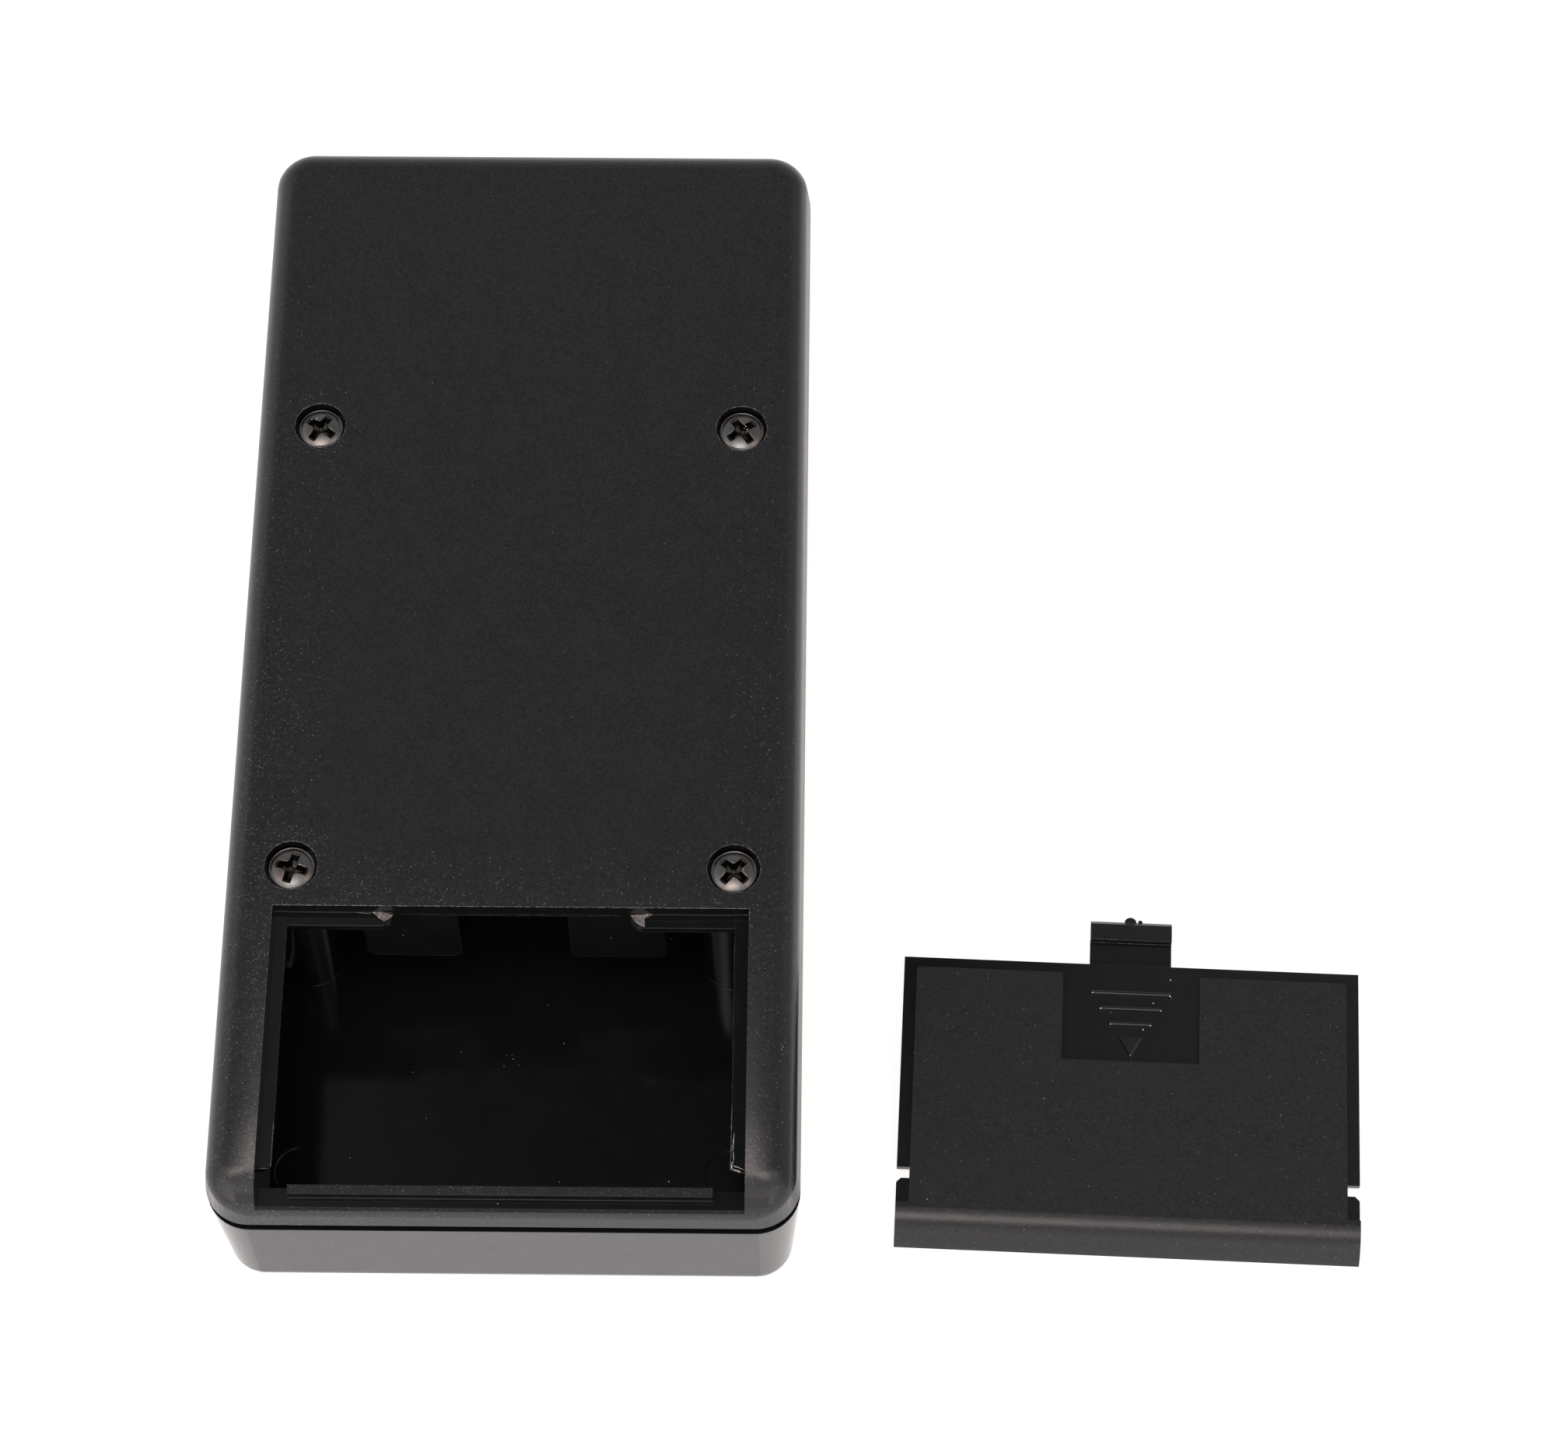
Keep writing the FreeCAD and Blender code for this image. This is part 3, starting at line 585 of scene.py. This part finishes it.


# Small marks of moulding and handling, all in millimetres: flecks and burrs give place and size, strips and
# scars two ends, width, height and fullness, chips the outline of a thin plate; the cover's pale flecks are
# painted glints

marks = {
    "flecks": ((3.41, -38.86, 2.25, 0.07), (5.62, -44.26, 2.25, 0.1), (-7.72, -45.59, 2.25, 0.07),
               (-11.85, -54.9, 2.25, 0.06), (-13.87, -48.49, 2.25, 0.06), (-21.41, -60.49, 2.25, 0.09),
               (-0.89, -46.51, 2.25, 0.09), (-1.72, -45.97, 2.25, 0.06), (-0.15, -47.38, 2.25, 0.05),
               (-2.06, -47.51, 2.25, 0.07), (-1.1, -46.0, 2.25, 0.05), (-0.3, -46.2, 2.25, 0.04),
               (34.5, -56.12, 29.55, 0.08), (34.75, -55.5, 29.53, 0.05), (34.34, -56.54, 29.56, 0.06),
               (-24.87, 38.3, 29.57, 0.09), (-25.37, 37.81, 29.57, 0.06), (-24.32, 37.7, 29.57, 0.06),
               (-0.27, -76.0, 26.55, 0.08), (20.68, -73.42, 27.78, 0.08), (7.3, -73.6, 27.78, 0.06),
               (-14.2, -37.42, 20.9, 0.07), (12.3, -37.42, 20.6, 0.06), (20.0, -37.42, 20.4, 0.05)),
    # Pale flecks at the cover's rib ends, standing for painted glints
    "coverFlecks": ((84.88, -34.86, 3.02, 0.1), (82.54, -38.18, 2.95, 0.1), (81.14, -41.9, 2.87, 0.1),
                    (105.9, -37.3, 3.4, 0.08), (52.9, -65.9, 3.3, 0.06), (68.0, -52.0, 3.62, 0.05),
                    (74.6, -36.88, 3.4, 0.09), (84.72, -37.35, 3.4, 0.1), (75.62, -39.1, 3.37, 0.1),
                    (83.48, -39.42, 3.37, 0.08), (76.86, -41.32, 3.33, 0.07), (82.05, -41.52, 3.33, 0.09),
                    (79.34, -45.62, 3.1, 0.06), (84.93, -37.39, 3.0, 0.04), (83.6, -39.45, 2.95, 0.04),
                    (82.28, -41.5, 2.9, 0.04), (74.36, -36.98, 3.0, 0.04), (76.66, -41.33, 2.9, 0.04),
                    (77.01, -39.51, 2.95, 0.04)),
    "burrs": ((27.83, 34.23, 29.28, 0.13), (28.11, 33.99, 29.26, 0.17), (28.32, 33.63, 29.24, 0.14),
              (28.54, 33.39, 29.2, 0.16), (28.7, 32.92, 29.2, 0.12), (28.75, 32.56, 29.24, 0.09),
              (28.33, 33.15, 29.1, 0.12), (-29.23, 34.01, 29.22, 0.13), (-28.56, 34.1, 29.25, 0.13),
              (-27.03, -31.55, 29.3, 0.11), (-27.24, -33.07, 29.2, 0.11), (29.18, -31.69, 29.2, 0.15),
              (28.98, -31.94, 29.22, 0.08), (27.75, -30.75, 29.28, 0.12), (27.99, -32.92, 29.25, 0.13)),
    "strips": (((28.27, -62.6, 27.8), (28.23, -71.9, 27.8), 0.22, 0.12, 0.55),
               ((28.23, -40.5, 27.8), (28.25, -61.5, 27.8), 0.07, 0.04, 0.25),
               ((-28.27, -65.8, 27.8), (-28.3, -71.9, 27.8), 0.20, 0.12, 0.6),
               ((-28.24, -40.0, 27.8), (-28.25, -64.5, 27.8), 0.07, 0.04, 0.3),
               ((-28.4, -72.1, 27.8), (-29.5, -72.15, 27.8), 0.12, 0.08, 0.9),
               ((-14.0, -37.42, 27.4), (14.0, -37.42, 27.4), 0.06, 0.05, 0.3)),
    "scars": (((-19.89, -37.41, 27.7), (-17.72, -37.58, 27.7), 0.08, 0.05, 0.5),
              ((-17.64, -37.23, 27.7), (-16.51, -38.24, 27.75), 0.10, 0.06, 0.9),
              ((-16.51, -38.24, 27.75), (-16.0, -38.6, 27.75), 0.16, 0.08, 0.9),
              ((15.1, -37.62, 27.7), (15.35, -37.66, 27.7), 0.2, 0.08, 1.0),
              ((16.84, -37.45, 27.75), (18.2, -37.15, 27.7), 0.16, 0.06, 0.9),
              ((15.3, -37.9, 27.7), (16.3, -38.95, 27.7), 0.07, 0.05, 0.8),
              ((28.62, -66.9, 27.84), (28.45, -69.32, 27.84), 0.10, 0.05, 0.7),
              ((28.5, -69.32, 27.84), (28.62, -70.65, 27.84), 0.08, 0.05, 0.8),
              ((28.62, -70.65, 27.84), (28.38, -71.0, 27.84), 0.10, 0.05, 0.9),
              ((28.36, -71.0, 27.84), (28.38, -71.75, 27.84), 0.13, 0.06, 1.0),
              ((28.38, -71.75, 27.84), (29.5, -72.05, 27.84), 0.20, 0.08, 1.0),
              ((28.4, -71.2, 27.84), (29.85, -71.75, 27.84), 0.12, 0.06, 0.9)),
    "chips": (((-17.65, -37.21), (-16.51, -38.23), (-16.0, -38.6), (-15.34, -38.22), (-14.92, -37.68),
               (-16.26, -37.36)),
              ((15.17, -37.63), (15.48, -38.27), (16.19, -38.91), (16.88, -39.12), (16.8, -37.95),
               (17.53, -37.55), (18.2, -37.15), (16.84, -37.4), (15.76, -37.41))),
    "chipLow": 27.66, "chipHigh": 27.72, "fleckSize": 1.1, "coverGlintSize": 1.7, "seed": 7,
    "fleckUneven": (0.55, 1.15), "fleckWidth": 0.75, "fleckHeight": 0.45,
    "fleckTurns": ((-0.3, -0.3, 0.0), (0.3, 0.3, 6.28)),
    "speckSize": 0.1, "speckShade": 0.6, "dustRoughness": 0.9, "metalRoughness": 0.3,
    "dustAndGlintColour": (0.9, 0.89, 0.87, 1.0), "burrColour": (0.85, 0.84, 0.82, 1.0),
    "tornSize": 0.35, "tornBreaks": (0.35, 0.6), "tornDarker": 0.35, "tornRoughness": 0.4, "tornIor": 1.5,
    "flashColour": (0.11, 0.108, 0.108, 1.0), "chipColour": (0.24, 0.225, 0.22, 1.0),
    "scarColour": (0.75, 0.73, 0.71, 1.0),
}

# How a ragged strip comes and goes along its length, in shares of its width and height

ragged = {
    "step": 0.16, "fewestSteps": 3, "start": 0.5, "kept": 0.55, "below": 0.7, "above": 0.5, "end": 0.05,
    "wander": 0.25, "leastWidth": 0.04, "leastHeight": 0.02, "uneven": (0.5, 1.0), "underside": 0.6,
}


def fleckMesh(chance):
    mesh = bmesh.new()
    bmesh.ops.create_icosphere(mesh, subdivisions=1, radius=1.0)
    for vert in mesh.verts:
        vert.co *= chance.uniform(*marks["fleckUneven"])
        vert.co.y *= marks["fleckWidth"]
        vert.co.z *= marks["fleckHeight"]
    result = bpy.data.meshes.new("fleck")
    mesh.to_mesh(result)
    mesh.free()
    return result


def fleckTree():
    tree, given = newGroup("scatteredFlecks", (
        ("Places", "NodeSocketObject"), ("Finish", "NodeSocketMaterial"), ("Seed", "NodeSocketInt")))
    places = addNode(tree, "GeometryNodeObjectInfo", {"Object": given["Places"]})
    size = addNode(tree, "GeometryNodeInputNamedAttribute", {"Name": "size"}, data_type="FLOAT")
    low, high = marks["fleckTurns"]
    turn = addNode(tree, "FunctionNodeRandomValue", {0: low, 1: high, "Seed": given["Seed"]},
                   data_type="FLOAT_VECTOR")
    placed = addNode(tree, "GeometryNodeInstanceOnPoints", {
        "Points": places.outputs["Geometry"], "Instance": given["Geometry"], "Rotation": turn.outputs[0],
        "Scale": size.outputs[0]})
    return endGroup(tree, placed, given["Finish"])


def scatter(name, places, material, body, bigger=1.0):
    points = pointsWith(name + "Places", [(x * mm, y * mm, z * mm) for x, y, z, size in places], "size",
                        [size * bigger * mm for x, y, z, size in places])
    maker = putInScene(name + "Maker", fleckMesh(random.Random(marks["seed"])))
    mesh = runGroup(fleckTree(), maker, points, {
        "Places": points, "Finish": material, "Seed": marks["seed"]})
    piece = putInScene(name, mesh)
    dress(piece, material)
    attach(piece, body)


def raggedStrip(mesh, chance, start, end, width, height, fullness):  # a closed ridge
    start, end = Vector(start) * mm, Vector(end) * mm
    up = Vector((0, 0, 1))
    aside = (end - start).normalized().cross(up).normalized()
    count = max(ragged["fewestSteps"], int((end - start).length / (ragged["step"] * mm)))
    rings = []
    size = ragged["start"]
    for k in range(count + 1):
        aim = chance.uniform(fullness - ragged["below"], fullness + ragged["above"])
        size = min(1.0, max(0.0, ragged["kept"] * size + (1 - ragged["kept"]) * aim))
        if k in (0, count):
            size = ragged["end"]
        off = chance.uniform(-ragged["wander"], ragged["wander"]) * width * mm * size
        middle = start + (end - start) * k / count + aside * off
        w = (ragged["leastWidth"] + size) * width * mm / 2
        h = (ragged["leastHeight"] + size) * height * mm * chance.uniform(*ragged["uneven"])
        corners = (middle - aside * w, middle + up * h, middle + aside * w,
                   middle - up * h * ragged["underside"])
        rings.append([mesh.verts.new(corner) for corner in corners])
    for a, b in zip(rings, rings[1:]):
        for k in range(4):
            mesh.faces.new((a[k], a[(k + 1) % 4], b[(k + 1) % 4], b[k]))
    mesh.faces.new(rings[0])
    mesh.faces.new(list(reversed(rings[-1])))


def chipPlate(mesh, outline):  # thin closed plate over a torn shelf tip
    low, high = ([mesh.verts.new((x * mm, y * mm, z * mm)) for x, y in outline]
                 for z in (marks["chipLow"], marks["chipHigh"]))
    mesh.faces.new(list(reversed(low)))
    mesh.faces.new(high)
    for k in range(len(outline)):
        after = (k + 1) % len(outline)
        mesh.faces.new((low[k], low[after], high[after], high[k]))


def speckled(name, colour, **values):
    material, tree, shader, position = newMaterial(name, **values)
    speck = noise(tree, position, marks["speckSize"] * mm)
    tree.links.new(mixColour(tree, speck, grey(marks["speckShade"]), colour), shader.inputs["Base Color"])
    return material


def whitened(name, colour):  # plastic gone pale where it was torn
    material, tree, shader, position = newMaterial(name, Roughness=marks["tornRoughness"],
                                                   IOR=marks["tornIor"])
    broken = ramp(tree, noise(tree, position, marks["tornSize"] * mm, 3.0), *marks["tornBreaks"])
    darker = tuple(marks["tornDarker"] * v for v in colour[:3]) + (1.0,)
    tree.links.new(mixColour(tree, broken, darker, colour), shader.inputs["Base Color"])
    return material


def makeMarks():
    # The pale dust material also makes the cover's painted glints
    dust = speckled("Pale dust and painted glints", marks["dustAndGlintColour"], Roughness=marks["dustRoughness"])
    metal = speckled("Bright scratched metal", marks["burrColour"], Metallic=1.0,
                     Roughness=marks["metalRoughness"])
    scatter("dustFlecks", marks["flecks"], dust, "case", marks["fleckSize"])
    scatter("coverFlecks", marks["coverFlecks"], dust, "cover", marks["coverGlintSize"])
    scatter("recessBurrs", marks["burrs"], metal, "case")
    for name, finish, colour, strips, plates in (
            ("mouldFlash", "Whitened flash", marks["flashColour"], marks["strips"], ()),
            ("shelfScars", "White scars", marks["scarColour"], marks["scars"], ()),
            ("tornTips", "Torn plastic", marks["chipColour"], (), marks["chips"])):
        mesh = bmesh.new()
        chance = random.Random(marks["seed"])
        for strip in strips:
            raggedStrip(mesh, chance, *strip)
        for outline in plates:
            chipPlate(mesh, outline)
        bmesh.ops.recalc_face_normals(mesh, faces=mesh.faces)
        made = bpy.data.meshes.new(name)
        mesh.to_mesh(made)
        mesh.free()
        piece = putInScene(name, made)
        dress(piece, whitened(finish, colour))
        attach(piece, "case")
        print(name + ":", len(made.polygons), "faces")


makeMarks()


# Studio: pale floor, surroundings in bands over the far to the near horizon with spots in them, and two
# soft boxes at the near side; each spot gives its direction, reach and tone

studio = {
    "floorSize": 3.0, "floorColour": 0.8, "floorShown": (0.88, 0.855, 0.845, 1.0), "floorShade": 0.32,
    "bands": ((0.0, (0.80, 0.795, 0.79)), (0.10, (0.72, 0.715, 0.71)), (0.21, (0.46, 0.46, 0.47)),
              (0.29, (0.27, 0.272, 0.28)), (0.42, (0.24, 0.24, 0.245)), (0.47, (0.85, 0.79, 0.77)),
              (0.59, (0.85, 0.79, 0.77)), (0.62, (0.9, 0.84, 0.82)), (0.68, (0.9, 0.84, 0.82)),
              (0.76, (1.2, 1.11, 1.08)), (0.82, (1.3, 1.20, 1.15)), (1.0, (1.20, 1.12, 1.09))),
    "spots": (((-0.03, 0.40, 0.916), 0.12, (0.02, 0.021, 0.022, 1.0)),
              ((-0.08, -0.22, 0.972), 0.29, (6.8, 5.9, 5.7, 1.0)),
              ((-0.07, -0.395, 0.916), 0.19, (0.05, 0.05, 0.05, 1.0)),
              ((0.06, -0.41, 0.910), 0.17, (0.05, 0.05, 0.05, 1.0)),
              ((0.33, -0.28, 0.90), 0.20, (0.3, 0.29, 0.28, 1.0)),
              ((-0.58, -0.07, 0.81), 0.22, (2.6, 2.45, 2.3, 1.0)),
              ((0.50, -0.06, 0.864), 0.20, (2.6, 2.3, 2.35, 1.0))),
    "spotCore": 0.35, "sideways": (0.42, 0.72),
    "left": (0.84, 0.83, 0.82, 1.0), "right": (0.50, 0.495, 0.49, 1.0),
    "boxSize": 1.1, "boxColour": (1.0, 0.95, 0.92),
    "boxes": (("nearLeft", (-0.75, -0.85, 0.45), 3.0), ("nearRight", (0.8, -0.8, 0.45), 2.4)),
}

# Camera solved from the photograph: place, angles in degrees, lens and sensor in millimetres

photoView = {
    "place": (40.093 * mm, -280.054 * mm, 554.693 * mm), "turn": 1.2727, "tilt": 27.2057, "roll": -0.6964,
    "lens": 105.53, "sensor": 36.0, "nearest": 0.01, "farthest": 20.0,
}


def makeFloor():
    mesh = bpy.data.meshes.new("floor")
    half = studio["floorSize"] / 2
    corners = [(-half, -half, 0), (half, -half, 0), (half, half, 0), (-half, half, 0)]
    mesh.from_pydata(corners, [], [(0, 1, 2, 3)])
    floor = putInScene("floor", mesh)
    material = bpy.data.materials.new("Pale floor")
    material.use_nodes = True
    tree = material.node_tree
    tree.nodes.clear()
    plain = addNode(tree, "ShaderNodeBsdfDiffuse", {"Color": grey(studio["floorColour"])})
    shown = addNode(tree, "ShaderNodeEmission", {"Color": studio["floorShown"], "Strength": 1.0})
    shade = addNode(tree, "ShaderNodeBsdfDiffuse", {"Color": grey(studio["floorShade"])})
    pale = addNode(tree, "ShaderNodeAddShader", {0: shown.outputs[0], 1: shade.outputs[0]})
    path = addNode(tree, "ShaderNodeLightPath").outputs
    seen = maths(tree, "MAXIMUM", maths(tree, "MAXIMUM", path["Is Camera Ray"], path["Is Glossy Ray"]),
                 path["Is Transmission Ray"])
    both = addNode(tree, "ShaderNodeMixShader", {0: seen, 1: plain.outputs[0], 2: pale.outputs[0]})
    tree.links.new(both.outputs[0], addNode(tree, "ShaderNodeOutputMaterial").inputs[0])
    dress(floor, material)


def makeSurroundings():
    world = bpy.data.worlds.new("Studio surroundings")
    bpy.context.scene.world = world
    world.use_nodes = True
    tree = world.node_tree
    tree.nodes.clear()
    direction = addNode(tree, "ShaderNodeTexCoord").outputs["Generated"]
    x, y, z = splitVector(tree, direction)
    climb = maths(tree, "DIVIDE", maths(tree, "ARCTAN2", z, y), math.pi)  # far horizon 0, near 1
    bands = addNode(tree, "ShaderNodeValToRGB", {"Fac": climb})
    fillRamp(bands, studio["bands"])
    sky = bands.outputs[0]
    for toward, reach, tone in studio["spots"]:
        away = vectorMaths(tree, "DISTANCE", direction, toward)
        sky = mixColour(tree, ramp(tree, away, studio["spotCore"] * reach, reach), tone, sky)
    ends = mixColour(tree, maths(tree, "GREATER_THAN", x, 0.0), studio["left"], studio["right"])
    sky = mixColour(tree, ramp(tree, maths(tree, "ABSOLUTE", x), *studio["sideways"]), sky, ends)
    light = addNode(tree, "ShaderNodeBackground", {"Color": sky, "Strength": 1.0})
    white = addNode(tree, "ShaderNodeBackground", {"Color": grey(1.0), "Strength": 1.0})
    camera = addNode(tree, "ShaderNodeLightPath").outputs["Is Camera Ray"]
    both = addNode(tree, "ShaderNodeMixShader", {0: camera, 1: light.outputs[0], 2: white.outputs[0]})
    tree.links.new(both.outputs[0], addNode(tree, "ShaderNodeOutputWorld").inputs[0])


def makeLamps():
    for name, place, power in studio["boxes"]:
        lamp = bpy.data.lights.new(name, "AREA")
        lamp.shape = "RECTANGLE"
        lamp.size = lamp.size_y = studio["boxSize"]
        lamp.energy = power
        lamp.color = studio["boxColour"]
        holder = putInScene(name, lamp)
        holder.location = place
        holder.rotation_euler = (-Vector(place)).to_track_quat("-Z", "Y").to_euler()


def makeCamera():
    data = bpy.data.cameras.new("photoCamera")
    data.sensor_fit = "HORIZONTAL"
    data.sensor_width = photoView["sensor"]
    data.lens = photoView["lens"]
    data.clip_start, data.clip_end = photoView["nearest"], photoView["farthest"]
    camera = putInScene("photoCamera", data)
    placed = Matrix.Translation(photoView["place"])
    for angle, axis in (("turn", "Z"), ("tilt", "X"), ("roll", "Z")):
        placed = placed @ Matrix.Rotation(math.radians(photoView[angle]), 4, axis)
    camera.matrix_world = placed
    bpy.context.scene.camera = camera


makeFloor()
makeSurroundings()
makeLamps()
makeCamera()
bpy.context.scene.view_settings.view_transform = "Standard"
print("studio ready")
